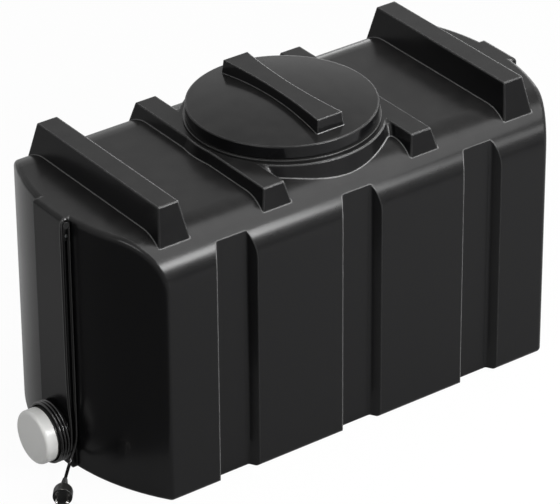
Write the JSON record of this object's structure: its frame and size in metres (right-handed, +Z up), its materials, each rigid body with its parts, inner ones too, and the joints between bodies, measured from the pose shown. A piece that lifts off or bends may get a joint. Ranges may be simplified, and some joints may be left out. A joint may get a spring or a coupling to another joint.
{
  "type": "fresh water tank",
  "caption": "Black moulded water tank with ribbed top, grooved sides and a round screw lid, and an immersion heater whose cord is wound behind its white cap",
  "frame": {"origin": "middle of the flat base, on the surface that the tank stands on", "axes": "+X along the tank's length, from the heater's end to the outlet's end; +Y across it; +Z up"},
  "size_m": [1.1727, 0.5, 0.6223],
  "materials": {
    "tank_plastic": "glossy black rotomoulded polyethylene",
    "lid_plastic": "glossy black moulded plastic",
    "ring_plastic": "black moulded plastic",
    "white_plastic": "satin white moulded plastic",
    "housing_plastic": "black moulded plastic",
    "rubber": "soft black rubber",
    "red_rubber": "silicone rubber",
    "brass": "turned brass",
    "steel": "zinc-plated steel",
    "stainless": "drawn stainless tube",
    "bakelite": "moulded phenolic",
    "cord_rubber": "black rubber sheath",
    "plug_rubber": "moulded black rubber",
    "nickel": "nickel-plated brass",
    "wire_brown": "insulated wire",
    "wire_blue": "insulated wire",
    "wire_green": "insulated wire with a yellow stripe",
    "dial_plastic": "moulded plastic"
  },
  "bodies": {
    "tank": {"tank_shell": "tank_plastic", "neck_gasket": "rubber", "neck_ring": "ring_plastic", "neck_ring_screws": "steel", "heater_gaskets": "rubber", "heater_base": "housing_plastic", "heater_plug": "brass", "heater_locknut": "brass", "heating_element": "stainless", "thermostat_pocket": "stainless", "thermostat": "bakelite", "terminal_screws": "brass", "earth_screw": "steel", "cover_seal": "red_rubber", "cord_grommet": "rubber", "cord_wraps": "cord_rubber", "power_cord": "cord_rubber", "plug_body": "plug_rubber", "plug_pins": "nickel", "plug_earth_contacts": "nickel", "cord_hook": "housing_plastic", "hook_screw": "steel", "outlet_fitting": "ring_plastic", "outlet_gaskets": "rubber", "outlet_nut": "ring_plastic", "live_lead": "wire_brown", "neutral_lead": "wire_blue", "earth_lead": "wire_green"},
    "lid_seal": {"lid_seal": "rubber"},
    "lid": {"screw_lid": "lid_plastic"},
    "thermostat_dial": {"thermostat_dial": "dial_plastic"},
    "heater_cover": {"heater_cover": "white_plastic"}
  },
  "joints": [
    {"name": "lid_rise", "type": "slide", "parent": "tank", "child": "lid_seal", "axis": [0, 0, 1], "range_m": [0, 0.012]},
    {"name": "lid_turn", "type": "hinge", "parent": "lid_seal", "child": "lid", "pos_m": [0, 0, 0.58], "axis": [0, 0, 1], "range_deg": [0, 180]},
    {"name": "dial_turn", "type": "hinge", "parent": "tank", "child": "thermostat_dial", "pos_m": [-0.56, 0, 0.066], "axis": [1, 0, 0], "range_deg": [0, 270]},
    {"name": "cover_pull", "type": "slide", "parent": "tank", "child": "heater_cover", "axis": [-1, 0, 0], "range_m": [0, 0.06]}
  ],
  "couplings": [
    {"joint": "lid_rise", "follows": "lid_turn", "m_per_rad": 0.0038197}
  ]
}
